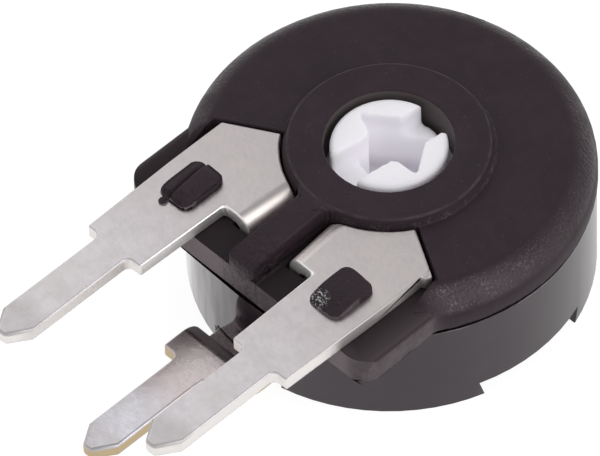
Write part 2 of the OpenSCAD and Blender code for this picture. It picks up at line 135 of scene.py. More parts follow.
def grey(value, tint=(1, 1, 1)):
    """A colour of that brightness, tinted."""
    return (value * tint[0], value * tint[1], value * tint[2], 1)


def blend(tree, factor, first, second):
    """Mixes two colours."""
    made = put(tree, "ShaderNodeMix", data_type="RGBA")
    for key, value in (("Factor_Float", factor), ("A_Color", first), ("B_Color", second)):
        set_socket(tree, next(s for s in made.inputs if s.identifier == key), value)
    return next(s for s in made.outputs if s.identifier == "Result_Color")


def layered(tree, colour, *layers):
    """Lays colours over the first one in order, each given as (mask, colour)."""
    for mask, tone in layers:
        colour = blend(tree, mask, colour, tone)
    return colour


def noise(tree, where, size, detail=2.0, rough=0.5, stretch=None):
    """Noise whose cells are about size millimetres, read at a place in millimetres."""
    if stretch:
        where = put(tree, "ShaderNodeMapping", {"Vector": where, "Scale": stretch}).outputs[0]
    inputs = {"Vector": where, "Scale": 1 / size, "Detail": detail, "Roughness": rough}
    return put(tree, "ShaderNodeTexNoise", inputs).outputs[0]


def bump(tree, height, depth, strength=1.0, over=None):
    """A bump of that depth in millimetres, laid over another one if that is given."""
    inputs = {"Height": height, "Distance": depth * MM, "Strength": strength}
    if over is not None:
        inputs["Normal"] = over
    return put(tree, "ShaderNodeBump", inputs).outputs[0]


def group(name, inputs, outputs):
    """An empty node group with named sockets, given as (name, kind, default) and (name, kind)."""
    tree = bpy.data.node_groups.new(name, "ShaderNodeTree")
    for label, kind, value in inputs:
        socket = tree.interface.new_socket(name=label, in_out="INPUT", socket_type=kind)
        socket.default_value = value
    for label, kind in outputs:
        tree.interface.new_socket(name=label, in_out="OUTPUT", socket_type=kind)
    return tree, put(tree, "NodeGroupInput").outputs, put(tree, "NodeGroupOutput").inputs


def use(tree, made, inputs=None):
    """Places a node group in a material and gives its outputs."""
    return put(tree, "ShaderNodeGroup", inputs, node_tree=made).outputs


# ---------- effects that several materials use ----------

FLOAT, VECTOR = "NodeSocketFloat", "NodeSocketVector"


def place_group():
    """Where a point is: in millimetres, and its distance from the rotor's axis."""
    outputs = [("Place", VECTOR), ("Radius", FLOAT), ("X", FLOAT), ("Y", FLOAT), ("Z", FLOAT)]
    tree, _, out = group("Place in millimetres", [], outputs)
    where = put(tree, "ShaderNodeTexCoord").outputs["Object"]
    large = put(tree, "ShaderNodeVectorMath", {0: where, "Scale": 1 / MM}, operation="SCALE").outputs[0]
    parts = put(tree, "ShaderNodeSeparateXYZ", {0: large}).outputs
    squared = total(tree, both(tree, parts[0], parts[0]), both(tree, parts[1], parts[1]))
    tree.links.new(large, out["Place"])
    tree.links.new(calc(tree, "SQRT", squared), out["Radius"])
    for label, part in zip("XYZ", parts):
        tree.links.new(part, out[label])
    return tree


def grain_group():
    """Fine eroded grain of a moulding, slow clouding, and sparse pale specks."""
    inputs = [("Place", VECTOR, (0, 0, 0)), ("Grain Size", FLOAT, 0.06)]
    outputs = [("Height", FLOAT), ("Cloud", FLOAT), ("Specks", FLOAT)]
    tree, given, out = group("Moulded grain", inputs, outputs)
    scale = calc(tree, "DIVIDE", 1.0, given["Grain Size"])
    fine = put(tree, "ShaderNodeTexNoise", {"Vector": given["Place"], "Scale": scale, "Detail": 3.0})
    slow = noise(tree, given["Place"], 1.3, 3)
    dots = noise(tree, given["Place"], 0.09, 1)
    tree.links.new(fine.outputs[0], out["Height"])
    tree.links.new(ramp(tree, slow, 0.3, 0.7), out["Cloud"])
    tree.links.new(ramp(tree, dots, 0.69, 0.76), out["Specks"])
    return tree


def facing_group():
    """How far a face looks up or down, from 0 for an upright wall to 1 for a flat top, and sideways."""
    tree, _, out = group("Facing", [], [("Up", FLOAT), ("Sideways", FLOAT)])
    normal = put(tree, "ShaderNodeTexCoord").outputs["Normal"]
    parts = put(tree, "ShaderNodeSeparateXYZ", {0: normal}).outputs
    tree.links.new(size_of(tree, parts[2]), out["Up"])
    tree.links.new(size_of(tree, parts[0]), out["Sideways"])
    return tree


def parting_group():
    """Height above the joint between the two housings."""
    inputs = [("Y", FLOAT, 0.0), ("Z", FLOAT, 0.0)]
    tree, given, out = group("Above the joint", inputs, [("Above", FLOAT)])
    in_front = calc(tree, "MINIMUM", total(tree, given["Y"], -JOINT_BREAK_Y), 0.0)
    level = calc(tree, "SUBTRACT", given["Z"], JOINT_Z)
    tree.links.new(calc(tree, "SUBTRACT", level, both(tree, in_front, JOINT_SLOPE)), out["Above"])
    return tree


def scratch_group():
    """Hair-thin curved scratches, in patches."""
    tree, given, out = group("Hair scratches", [("Place", VECTOR, (0, 0, 0))], [("Scratches", FLOAT)])
    contours = calc(tree, "FRACT", both(tree, noise(tree, given["Place"], 1.1, 1), 7.0))
    away = size_of(tree, calc(tree, "SUBTRACT", contours, 0.5))
    patches = ramp(tree, noise(tree, given["Place"], 0.6, 2), 0.5, 0.6)
    tree.links.new(both(tree, ramp(tree, away, 0.035, 0.01), patches), out["Scratches"])
    return tree


PLACE = place_group()
GRAIN = grain_group()
FACING = facing_group()
PARTING = parting_group()
SCRATCHES = scratch_group()


# ---------- materials ----------


def material(name):
    """A new material with its tree, its Principled shader and the place sockets."""
    made = bpy.data.materials.new(name)
    made.use_nodes = True
    tree = made.node_tree
    shader = next(n for n in tree.nodes if n.type == "BSDF_PRINCIPLED")
    return made, tree, shader, use(tree, PLACE)


def feed(tree, shader, **sockets):
    """Links or sets the shader's inputs; underscores stand for spaces."""
    for key, value in sockets.items():
        set_socket(tree, shader.inputs[key.replace("_", " ")], value)


def rim_marks(tree, at, cloud, leather, grit):
    """The disc's rim, the same rim with a painted highlight that is strongest near the block, and painted
    glints on the grains on it.
    """
    off_rib = ramp(tree, size_of(tree, at["X"]), RIB_HALF_W + 0.1, RIB_HALF_W + 0.25)
    rim = both(
        tree,
        ramp(tree, at["Radius"], DISC_R - 0.66, DISC_R - 0.41),
        ramp(tree, at["Z"], DISC_TOP - 0.6, DISC_TOP - 0.4),
        either(tree, off_rib, ramp(tree, at["Y"], 0.0, 1.0)),
        ramp(tree, at["Y"], -2.9, -2.3),
        ramp(tree, cloud, 0.0, 0.5, 0.4, 1.0),
    )
    near_block = both(tree, ramp(tree, at["Y"], 1.0, -2.0), ramp(tree, at["X"], 0.0, 2.0))
    grains = both(tree, ramp(tree, grit, 0.52, 0.66), ramp(tree, leather, 0.4, 0.6))
    # Painted glints: pale grains on the rim, most of them near the block
    rim_glints = both(tree, rim, grains, ramp(tree, near_block, 0, 1, 0.3, 1))
    return rim, both(tree, rim, ramp(tree, near_block, 0, 1, 0.15, 0.75)), rim_glints


def wall_marks(tree, at, up, leather):
    """The block's walls, with their colour: painted light that makes them paler than the top, and a paler
    painted reflection beside the terminals' legs.
    """
    off_rib = ramp(tree, size_of(tree, at["X"]), RIB_HALF_W + 0.05, RIB_HALF_W + 0.4)
    wall = both(
        tree,
        ramp(tree, at["Radius"], DISC_R - 0.11, DISC_R - 0.06),
        ramp(tree, up, 0.6, 0.2),
        ramp(tree, at["Y"], -2.4, -2.9),
        either(tree, off_rib, ramp(tree, at["Z"], DISC_TOP, DISC_TOP - 0.55)),
    )
    # Painted reflection of the terminals' legs on the walls beside them
    leg_reflection = either(tree, band(tree, at["X"], 2.2, 2.6, 3.4, 3.95), ramp(tree, at["X"], 0.2, -0.9))
    leg_reflection = both(tree, leg_reflection, ramp(tree, at["Y"], BLOCK_FRONT_Y + 0.46, BLOCK_FRONT_Y + 0.16))
    # Painted light: the walls' tone is paler than the top because light falls on their sides
    patches = ramp(tree, leather, 0.35, 0.65)
    tone = blend(tree, patches, grey(0.062, (1, 0.79, 0.86)), grey(0.092, (1, 0.81, 0.87)))
    return wall, blend(tree, leg_reflection, tone, grey(0.165, (1, 0.83, 0.88)))


def ledge_marks(tree, at, up):
    """The block's top, with painted shade from the terminals' sheets over it, and a painted highlight on its
    rounded edge at the right and the front.
    """
    top = both(tree, ramp(tree, at["Z"], BLOCK_TOP + 0.12, BLOCK_TOP + 0.04), ramp(tree, up, 0.5, 0.8))
    inner = ramp(tree, size_of(tree, at["X"]), BLOCK_HALF_W - 0.12, BLOCK_HALF_W - 0.47)
    right = ramp(tree, at["X"], 1.5, 2.6)
    # Painted shade on the block's top, a little less of it at the right
    tone = blend(tree, right, grey(0.012, (1, 0.62, 0.72)), grey(0.018, (1, 0.62, 0.74)))
    # Painted highlight on the rounded edge at the right and the front
    brink_highlight = either(
        tree,
        ramp(tree, at["X"], BLOCK_HALF_W - 0.87, BLOCK_HALF_W - 0.07),
        ramp(tree, at["Y"], BLOCK_FRONT_Y + 0.46, BLOCK_FRONT_Y + 0.06),
    )
    return both(tree, top, inner), tone, both(tree, brink_highlight, top, ramp(tree, at["X"], 1.2, 2.0))


def collar_marks(tree, at, leather, grit, patchy):
    """The rotor hole's wall, paler with painted light as if bounced off the white rotor, and fine painted
    highlight lines on the collar's edge and along its foot.
    """
    # Painted light bounced from the white rotor onto the hole's wall
    bore_bounce_light = both(
        tree,
        ramp(tree, at["Radius"], HOLE_R + 0.06, HOLE_R + 0.02),
        ramp(tree, at["Z"], COLLAR_TOP - 0.01, COLLAR_TOP - 0.05),
    )
    # Painted highlights: a fine line on the collar's top edge, and one along its foot on the lit right side
    edge_highlight = both(
        tree,
        band(tree, at["Radius"], COLLAR_R - 0.07, COLLAR_R - 0.04, COLLAR_R + 0.01, COLLAR_R + 0.04),
        ramp(tree, leather, 0.3, 0.7),
        ramp(tree, at["Z"], COLLAR_TOP - 0.05, COLLAR_TOP - 0.02),
    )
    foot = COLLAR_FOOT_R
    foot_highlight = both(
        tree,
        band(tree, at["Radius"], foot - 0.06, foot - 0.03, foot + 0.02, foot + 0.06),
        ramp(tree, at["X"], -0.5, 1.0),
        ramp(tree, grit, 0.5, 0.56),
        patchy,
    )
    return bore_bounce_light, either(tree, both(tree, edge_highlight, 0.45), both(tree, foot_highlight, 0.6))


def peg_marks(tree, at, grit):
    """The melted heads, and painted glints of pale grit on the front of the right one."""
    peg = both(
        tree,
        ramp(tree, at["Z"], SHEET_TOP + 0.005, SHEET_TOP + 0.015),
        ramp(tree, at["Y"], -3.35, -3.4),
        ramp(tree, size_of(tree, at["X"]), PEG_X - 0.8, PEG_X - 0.6),
    )
    spot = (PEG_X - 0.25, RIGHT_PEG_Y - 0.53, SHEET_TOP + 0.12)
    away = put(tree, "ShaderNodeVectorMath", {0: at["Place"], 1: spot}, operation="DISTANCE").outputs[1]
    # Painted glints: pale grit near the front of the right head
    return peg, both(tree, ramp(tree, away, 0.36, 0.15), ramp(tree, grit, 0.52, 0.6), peg)


def matt_black():
    """Front housing: matt brown-black moulding, leathery on its flats, coarse and shinier on its rim, with
    painted light and shade on its rim, walls, ledge, collar, joint and right peg.
    """
    made, tree, shader, at = material("Matt moulded black")
    grain = use(tree, GRAIN, {"Place": at["Place"], "Grain Size": 0.05})
    coarse = use(tree, GRAIN, {"Place": at["Place"], "Grain Size": 0.09})
    up = use(tree, FACING)["Up"]
    above = use(tree, PARTING, {"Y": at["Y"], "Z": at["Z"]})["Above"]
    leather = noise(tree, at["Place"], 0.4, 3, 0.6)
    grit = noise(tree, at["Place"], 0.06, 2, 0.7)
    patchy = ramp(tree, noise(tree, at["Place"], 0.3, 3), 0.42, 0.6)

    rim, rim_highlight, rim_glints = rim_marks(tree, at, coarse["Cloud"], leather, grit)
    wall, wall_light = wall_marks(tree, at, up, leather)
    ledge, ledge_shade, brink_highlight = ledge_marks(tree, at, up)
    bore_bounce_light, lines = collar_marks(tree, at, leather, grit, patchy)
    peg, peg_glints = peg_marks(tree, at, grit)
    # Painted shade: the ragged joint is darkened as if in the shade of its groove
    joint = ramp(tree, total(tree, above, both(tree, leather, 0.14)), 0.13, 0.115)
    # Painted highlight: pale ragged patches on the burrs just above the joint
    burr = both(tree, ramp(tree, above, 0.09, 0.06), patchy, ramp(tree, grit, 0.45, 0.55), wall)
    colour = layered(
        tree,
        blend(tree, grain["Cloud"], grey(0.0195, (1, 0.58, 0.79)), grey(0.0245, (1, 0.6, 0.81))),
        (ramp(tree, leather, 0.35, 0.65, 0.0, 0.45), grey(0.014, (1, 0.58, 0.8))),
        (both(tree, grain["Specks"], 0.2), grey(0.1, (1, 0.9, 0.93))),
        # Painted highlight on the rim, then painted glints on its grains
        (rim_highlight, grey(0.06, (1, 0.76, 0.87))),
        (both(tree, rim_glints, 0.8), grey(0.17, (1, 0.86, 0.93))),
        # Painted light on the block's walls
        (wall, wall_light),
        # Painted shade on the block's top, then a painted highlight on its edge
        (ledge, ledge_shade),
        (brink_highlight, grey(0.038, (1, 0.79, 0.86))),
        # Painted bounce light in the hole, then painted highlight lines on the collar
        (bore_bounce_light, grey(0.075, (1, 0.85, 0.82))),
        (lines, grey(0.08, (1, 0.86, 0.93))),
        # Painted glints on the right peg's front
        (peg_glints, grey(0.4)),
        (burr, grey(0.12, (1, 0.9, 0.9))),
        (joint, grey(0.004, (1, 0.8, 0.8))),
    )

    near_rib = ramp(tree, size_of(tree, at["X"]), RIB_HALF_W + 0.2, RIB_HALF_W + 0.1)
    ridge = both(tree, near_rib, ramp(tree, at["Y"], -3.7, -4.3))
    lumpy = bump(tree, both(tree, noise(tree, at["Place"], 0.22, 2, 0.6), ridge), 0.16)
    fine = bump(tree, grain["Height"], 0.012, 0.6, lumpy)
    crinkles = both(tree, either(tree, rim, wall, peg, ridge), 0.9)
    feed(
        tree,
        shader,
        Base_Color=colour,
        # Metallic on the joint and the ledge dims their reflection, to deepen their painted shade
        Metallic=either(tree, joint, both(tree, ledge, 0.15)),
        Roughness=calc(tree, "SUBTRACT", 0.6, both(tree, rim, 0.26)),
        Specular_IOR_Level=0.26,
        Specular_Tint=(1, 0.9, 0.96, 1),
        Normal=bump(tree, coarse["Height"], 0.04, crinkles, fine),
    )
    return made


def satin_black():
    """Rear housing: the same plastic, smoother, glossy in front, with a ragged joint at its rim, darkened
    with painted shade, and a painted highlight in patches just under it.
    """
    made, tree, shader, at = material("Satin moulded black")
    grain = use(tree, GRAIN, {"Place": at["Place"], "Grain Size": 0.12})
    above = use(tree, PARTING, {"Y": at["Y"], "Z": at["Z"]})["Above"]
    depth = total(tree, above, both(tree, noise(tree, at["Place"], 0.25, 4, 0.7), 0.09))
    outside = ramp(tree, at["Radius"], DISC_R - 0.16, DISC_R - 0.12)
    # Painted shade: the top of the rim is darkened where it makes the groove of the joint
    joint = both(tree, ramp(tree, depth, -0.045, -0.035), outside)
    pieces = ramp(tree, noise(tree, at["Place"], 0.5, 3), 0.5, 0.56)
    # Painted highlight in patches along the rim's edge just under the groove
    lip_highlight = both(tree, ramp(tree, depth, -0.09, -0.07), pieces)
    glossy = both(tree, ramp(tree, at["Y"], -3.0, -4.2), ramp(tree, at["X"], 1.2, 0.2))
    drawn = noise(tree, at["Place"], 0.25, 2, 0.5, (1, 1, 0.15))
    shine = ramp(tree, drawn, 0.35, 0.65, 0.35, 0.6)
    colour = layered(
        tree,
        blend(tree, grain["Cloud"], grey(0.018, (1, 0.68, 0.9)), grey(0.024, (1, 0.72, 0.92))),
        (both(tree, lip_highlight, 0.7), grey(0.13, (1, 0.88, 0.95))),
        (joint, grey(0.003, (1, 0.8, 0.8))),
    )
    feed(
        tree,
        shader,
        Base_Color=colour,
        # Metallic dims the joint's reflection, to deepen its painted shade
        Metallic=joint,
        Roughness=calc(tree, "SUBTRACT", 0.22, both(tree, glossy, 0.1)),
        Specular_Tint=(1, 0.9, 0.97, 1),
        Coat_Weight=both(tree, glossy, calc(tree, "SUBTRACT", 1.0, joint), shine),
        Coat_Roughness=0.06,
        Coat_Tint=(1, 0.96, 0.98, 1),
        Normal=bump(tree, grain["Height"], 0.002, 0.5),
    )
    return made


def white_plastic():
    """Rotor: smooth white moulding that light soaks through, with a painted glow that keeps its recesses
    bright.
    """
    made, tree, shader, at = material("White rotor plastic")
    slow = noise(tree, at["Place"], 0.8, 2)
    # Painted glow: emission in the drive recesses stands in for light that soaks into them
    recess_glow = both(tree, ramp(tree, at["Radius"], 1.5, 1.3), ramp(tree, at["Z"], 4.0, 3.5))
    recess_glow = both(tree, recess_glow, ramp(tree, at["Z"], 2.2, 2.8))
    white, whiter = grey(0.86, (1, 0.965, 1.02)), grey(0.88, (0.99, 0.965, 1.03))
    feed(
        tree,
        shader,
        Base_Color=blend(tree, ramp(tree, slow, 0.3, 0.7), white, whiter),
        Roughness=ramp(tree, slow, 0.3, 0.7, 0.38, 0.46),
        Subsurface_Weight=0.7,
        Subsurface_Radius=(1, 0.95, 0.95),
        Subsurface_Scale=0.5 * MM,
        Emission_Color=blend(tree, recess_glow, grey(0), grey(0.14)),
        Emission_Strength=1.0,
    )
    return made


def bend_highlights(tree, at, up):
    """Where an end terminal's tab is bent down, with a painted highlight, and the corner beside it, with a
    painted glint.
    """
    across = size_of(tree, at["X"])
    bend_highlight = both(
        tree,
        ramp(tree, up, 0.97, 0.85),
        ramp(tree, across, 1.9, 1.8),
        ramp(tree, at["Z"], 3.2, 3.3),
        ramp(tree, at["Y"], -4.2, -4.0),
    )
    sheared = both(
        tree,
        ramp(tree, across, 1.65, 1.55),
        ramp(tree, at["Y"], -4.0, -4.06),
        ramp(tree, at["Z"], 3.0, 3.1),
        ramp(tree, up, 0.98, 0.9),
    )
    return bend_highlight, sheared


def tin_plate(name, near, far, edge, shine, change):
    """Terminals: satin tin on brass, with a painted highlight where bent and a painted glint on the sheared
    corner beside it, with swirls, stains and scratches.

    near and far are the colours at the head and towards the pin's tip. They change over into each other
    between the two places along y that change gives. edge is the colour of the sheared sides."""
    made, tree, shader, at = material(name)
    grain = use(tree, GRAIN, {"Place": at["Place"], "Grain Size": 0.14})
    facing = use(tree, FACING)
    up = facing["Up"]
    scratches = use(tree, SCRATCHES, {"Place": at["Place"]})["Scratches"]
    stain = ramp(tree, noise(tree, at["Place"], 0.9, 4, 0.6), 0.45, 0.72)
    swirl = ramp(tree, noise(tree, at["Place"], 0.35, 4, 0.65), 0.35, 0.65)
    off_riser = ramp(tree, at["Z"], LOW_SHEET_BOTTOM - 0.02, LOW_SHEET_BOTTOM + 0.02)
    side = either(tree, ramp(tree, facing["Sideways"], 0.5, 0.8), off_riser)
    side = both(tree, ramp(tree, up, 0.45, 0.15), side)
    bend_highlight, sheared = bend_highlights(tree, at, up)
    lower_edge = band(tree, at["Z"], SHEET_TOP - 0.58, SHEET_TOP - 0.48, SHEET_TOP - 0.37, SHEET_TOP - 0.31)
    burr = both(tree, side, lower_edge, ramp(tree, noise(tree, at["Place"], 0.05, 2, 0.7), 0.48, 0.6))
    tip = ramp(tree, at["Y"], PIN_END_Y + 1.38, PIN_END_Y + 0.78)
    colour = layered(
        tree,
        blend(tree, ramp(tree, at["Y"], *change), near, far),
        (both(tree, swirl, 0.36), grey(0.45, (1, 0.94, 0.94))),
        (both(tree, stain, 0.3), grey(0.62, (1, 0.95, 0.87))),
        (both(tree, tip, 0.5), grey(0.42, (1, 0.94, 0.94))),
        (both(tree, scratches, 0.1), grey(0.8, (1, 0.98, 0.97))),
        (side, edge),
        # Painted highlight where the tab is bent, then a painted glint on the corner beside it
        (bend_highlight, grey(1.0, (1, 0.93, 0.89))),
        (both(tree, burr, 0.6), grey(0.25, (1, 0.95, 0.9))),
        (sheared, grey(1.0, (1, 0.98, 0.97))),
    )
    dull = total(tree, both(tree, stain, 0.06), both(tree, ramp(tree, up, 0.99, 0.9), 0.14))
    feed(
        tree,
        shader,
        Base_Color=colour,
        Metallic=1.0,
        Roughness=total(tree, shine, dull),
        Normal=bump(tree, grain["Height"], 0.008, 0.5),
    )
    return made


def nickel_silver():
    """Wiper spring: bright rolled strip."""
    made, tree, shader, at = material("Nickel silver strip")
    lines = noise(tree, at["Place"], 0.06, 2, 0.5, (1, 0.1, 1))
    feed(
        tree,
        shader,
        Base_Color=blend(tree, lines, grey(0.58, (1, 0.97, 0.9)), grey(0.66, (1, 0.97, 0.9))),
        Metallic=1.0,
        Roughness=ramp(tree, lines, 0.3, 0.7, 0.2, 0.32),
    )
    return made


def phenolic_board():
    """Resistive board: brown paper laminate with a black printed track under it."""
    made, tree, shader, at = material("Phenolic board with carbon track")
    fibre = noise(tree, at["Place"], 0.12, 4, 0.6, (1, 0.2, 1))
    paper = blend(tree, fibre, grey(0.2, (1, 0.55, 0.25)), grey(0.3, (1, 0.6, 0.3)))
    low = ramp(tree, at["Z"], TRACK_BOTTOM + 0.005, TRACK_BOTTOM - 0.005)
    start, end = TRACK_IN_R - 0.01, TRACK_OUT_R + 0.01
    track = both(tree, low, band(tree, at["Radius"], start, start + 0.02, end - 0.02, end))
    feed(
        tree,
        shader,
        Base_Color=blend(tree, track, paper, grey(0.02)),
        Roughness=ramp(tree, track, 0, 1, 0.55, 0.4),
        Normal=bump(tree, fibre, 0.01, 0.4),
    )
    return made


# ---------- pieces ----------

# A bevel's full width; each edge takes a part of it by its weight
WIDEST = 0.3

# Edges sharper than this many degrees are rounded, and the shading breaks at them
SHARP = 35

# The rotor's edges melt by a remesh in cells of this size, and that many passes of smoothing
ROTOR_CELL, ROTOR_PASSES = 0.045, 6

# The melted heads: the cells of their remesh, how far their foot reaches into the sheet and above it, and the
# rounding of their upright corners and of the edge of their top
HEAD_CELL, HEAD_FOOT = 0.022, 0.02
HEAD_CORNER, HEAD_TOP_EDGE = 0.24, 0.07


def activate(piece):
    """Selects one piece alone and makes it the active one."""
    bpy.ops.object.select_all(action="DESELECT")
    piece.select_set(True)
    bpy.context.view_layer.objects.active = piece


def finish_modifiers(piece):
    """Applies every modifier of a piece, in order."""
    activate(piece)
    for name in [modifier.name for modifier in piece.modifiers]:
        bpy.ops.object.modifier_apply(modifier=name)


def add_remesh(piece, cell):
    """A remesh in cells of that size, not yet applied."""
    remesh = piece.modifiers.new("fine", "REMESH")
    remesh.mode = "VOXEL"
    remesh.voxel_size = cell * MM


def closed_copy(node, name):
    """A copy of a CAD node, merged into one closed mesh of flat faces."""
    piece = bpy.data.objects.new(name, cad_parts[node].data.copy())
    bpy.context.scene.collection.objects.link(piece)
    activate(piece)
    bpy.ops.object.mode_set(mode="EDIT")
    bpy.ops.mesh.select_all(action="SELECT")
    bpy.ops.mesh.customdata_custom_splitnormals_clear()
    bpy.ops.mesh.remove_doubles(threshold=0.001 * MM)
    bpy.ops.mesh.dissolve_limited(angle_limit=math.radians(1))
    bpy.ops.object.mode_set(mode="OBJECT")
    return piece


def soften(piece, width_at):
    """Rounds the sharp edges; width_at gives the rounding's width at a place on an edge."""
    shape = bmesh.new()
    shape.from_mesh(piece.data)
    weight = shape.edges.layers.float.new("bevel_weight_edge")
    for edge in shape.edges:
        if len(edge.link_faces) == 2 and edge.calc_face_angle(0) > math.radians(SHARP):
            middle = (edge.verts[0].co + edge.verts[1].co) / 2 / MM
            edge[weight] = width_at(middle) / WIDEST
    shape.to_mesh(piece.data)
    shape.free()
    bevel = piece.modifiers.new("round_edges", "BEVEL")
    bevel.width = WIDEST * MM
    bevel.segments = 4
    bevel.limit_method = "WEIGHT"
    bevel.use_clamp_overlap = False
    bevel.loop_slide = False
    finish_modifiers(piece)


def melt_edges(piece, cell, passes):
    """Remeshes a piece in fine cells and rounds every edge a little."""
    add_remesh(piece, cell)
    smooth = piece.modifiers.new("round_edges", "SMOOTH")
    smooth.factor = 0.5
    smooth.iterations = passes
    finish_modifiers(piece)


def even_shading(piece):
    """Smooth shading that keeps the flat faces flat."""
    activate(piece)
    bpy.ops.object.shade_smooth_by_angle(angle=math.radians(SHARP))
    piece.modifiers.new("even_shading", "WEIGHTED_NORMAL").keep_sharp = True
    finish_modifiers(piece)


def step(value, start, end):
    """Goes smoothly from 0 to 1 while the value goes from start to end."""
    part = min(1, max(0, (value - start) / (end - start)))
    return part * part * (3 - 2 * part)


def left_melt(u, v, place):
    """The left head folded into two lobes under the hot tool, with a crumpled front."""
    groove = u + 0.3 + 0.1 * v
    drop = 0.09 * step(groove, 0.12, -0.1) + 0.08 * math.exp(-((groove / 0.1) ** 2))
    crumple = field.fractal(place * 5, 1.0, 2.0, 3) * 0.08
    front = step(v - 0.3 * u, -0.1, -0.7)
    return drop + 0.09 * step(v, -0.45, -1.0) + front * crumple + 0.03 * step(v, 0.6, 1)


def right_melt(u, v, place):
    """The right head lies flat, slopes down rough and round at its front, and is cut at its rear."""
    grit = field.fractal(place * 9, 1.0, 2.0, 3) * 0.04
    front = step(v, -0.1, -0.95)
    corner = step(-u - v, 0.9, 1.9)
    return 0.1 * front + 0.05 * corner + front * grit + 0.05 * step(v + 0.4 * u, 0.85, 1.2)


def bevel_where(piece, width, wanted):
    """Rounds the edges whose two ends pass a test."""
    bpy.ops.object.mode_set(mode="EDIT")
    bpy.ops.mesh.select_all(action="DESELECT")
    bpy.ops.object.mode_set(mode="OBJECT")
    for edge in piece.data.edges:
        edge.select = wanted(*(piece.data.vertices[i].co / MM for i in edge.vertices))
    bpy.ops.object.mode_set(mode="EDIT")
    bpy.ops.mesh.select_mode(type="EDGE")
    bpy.ops.mesh.bevel(offset=width * MM, segments=5)
    bpy.ops.object.mode_set(mode="OBJECT")


def plain_head(name, x, y):
    """A peg's head before it melts: a block with rounded corners that starts a little inside the sheet."""
    high = PEG_H + HEAD_FOOT
    bpy.ops.object.select_all(action="DESELECT")
    middle = (x * MM, y * MM, (SHEET_TOP - HEAD_FOOT + high / 2) * MM)
    bpy.ops.mesh.primitive_cube_add(size=MM, location=middle)
    head = bpy.context.active_object
    head.name = name
    head.scale = (2 * PEG_HALF_W, 2 * PEG_HALF_L, high)
    bpy.ops.object.transform_apply(location=True, rotation=True, scale=True)
    bevel_where(head, HEAD_CORNER, lambda a, b: abs(a.z - b.z) > high / 2)
    bevel_where(head, HEAD_TOP_EDGE, lambda a, b: min(a.z, b.z) > SHEET_TOP + PEG_H / 2)
    return head


def add_blob(head, x, y, radius):
    """A drop that ran out over the sheet, joined to the head."""
    place = (x * MM, y * MM, (SHEET_TOP + HEAD_FOOT) * MM)
    bpy.ops.mesh.primitive_ico_sphere_add(subdivisions=3, radius=radius * MM, location=place)
    head.select_set(True)
    bpy.context.view_layer.objects.active = head
    bpy.ops.object.join()


def press_top(head, x, y, melt):
    """Sinks the top of a head as melt says, and swells its sides a little unevenly."""
    middle = Vector((x, y, 0))
    for vertex in head.data.vertices:
        place = vertex.co / MM
        away = place - middle
        lift = step(place.z, SHEET_TOP + HEAD_FOOT, SHEET_TOP + PEG_H)
        drop = melt(away.x / PEG_HALF_W, away.y / PEG_HALF_L, place)
        swell = 1 + 0.02 * field.noise(place * 3) * step(place.z, SHEET_TOP, SHEET_TOP + 0.05)
        place.z = min(place.z, SHEET_TOP + PEG_H) - lift * max(0, drop)
        vertex.co = Vector((x + away.x * swell, y + away.y * swell, place.z)) * MM


def melted_head(name, x, y, melt, blob=None):
    """A peg's head as the hot tool left it, perhaps with a blob, given as (x, y, radius) from the peg."""
    head = plain_head(name, x, y)
    if blob:
        add_blob(head, x + blob[0], y + blob[1], blob[2])
    add_remesh(head, HEAD_CELL)
    finish_modifiers(head)
    press_top(head, x, y, melt)
    return head


def sink_plain_heads(piece):
    """Presses the housing's plain peg heads down, so that the melted ones cover them."""
    for vertex in piece.data.vertices:
        for x, y in ((-PEG_X, LEFT_PEG_Y), (PEG_X, RIGHT_PEG_Y)):
            away = vertex.co / MM - Vector((x, y, 0))
            inside = abs(away.x) < PEG_HALF_W + 0.05 and abs(away.y) < PEG_HALF_L + 0.05
            if away.z > SHEET_TOP - 0.01 and inside:
                low = min(away.z, SHEET_TOP + 0.01)
                vertex.co = Vector((x + 0.85 * away.x, y + 0.85 * away.y, low)) * MM


def housing_edges(at):
    """The rib's end and back are rounded soft, and the pegs' heads and what is inside are left alone."""
    out = math.hypot(at.x, at.y)
    high = at.z > DISC_TOP - 0.05
    pegs_y = -4.2
    if at.z > SHEET_TOP - 0.45 and math.hypot(abs(at.x) - PEG_X, at.y - pegs_y) < 0.9:
        return 0
    if abs(at.x) < RIB_HALF_W + 0.01 and at.y < -5 and high:
        return 0.28
    if abs(at.x) < RIB_HALF_W + 0.05 and at.y < -COLLAR_FOOT_R and high:
        return 0.1
    if out < HOLE_R + 0.1 and at.z < COLLAR_TOP - 0.05 or out < DISC_R - 0.08 and at.z < 3.3:
        return 0
    if abs(at.x) < RIB_HALF_W + 0.05 and at.y < -5:
        return 0.08
    return 0.05 if high or at.z < JOINT_Z + 0.1 else 0.03


def cup_edges(at):
    """Only the outer wall: its rim makes a groove with the disc, and its feet are hardly rounded."""
    if math.hypot(at.x, at.y) < DISC_R - 0.11:
        return 0
    return 0.05 if at.z > JOINT_Z - 0.1 else 0.03


def terminal_edges(at):
    """Sheared edges are a little rounded, and the pins' tips are coined."""
    if at.x > 3.3 and at.y > -6:
        return 0.035
    beside_rib = abs(abs(at.x) - 1.45) < 0.15 and abs(at.y + 4.1) < 0.1
    if beside_rib and abs(at.z - SHEET_TOP + 0.2) < 0.1:
        return 0.16
    if at.y < PIN_END_Y + 0.98:
        return 0.1
    return 0.075 if at.z < 1.6 and at.y < -7 else 0.05


def dress(piece, node, body, finish):
    """Puts a finished piece on its body with its material, in the place of a node if one is given."""
    piece.data.materials.clear()
    piece.data.materials.append(finish)
    if node:
        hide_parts(node)
    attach(piece, body)


def end_tin():
    """The two upper terminals: darker near the housing."""
    return tin_plate(
        "Tin plate",
        near=grey(0.51, (1, 0.915, 0.92)),
        far=grey(0.63, (1, 0.95, 0.985)),
        edge=grey(0.8, (1, 0.965, 0.94)),
        shine=0.36,
        change=(-2.0, -8.6),
    )


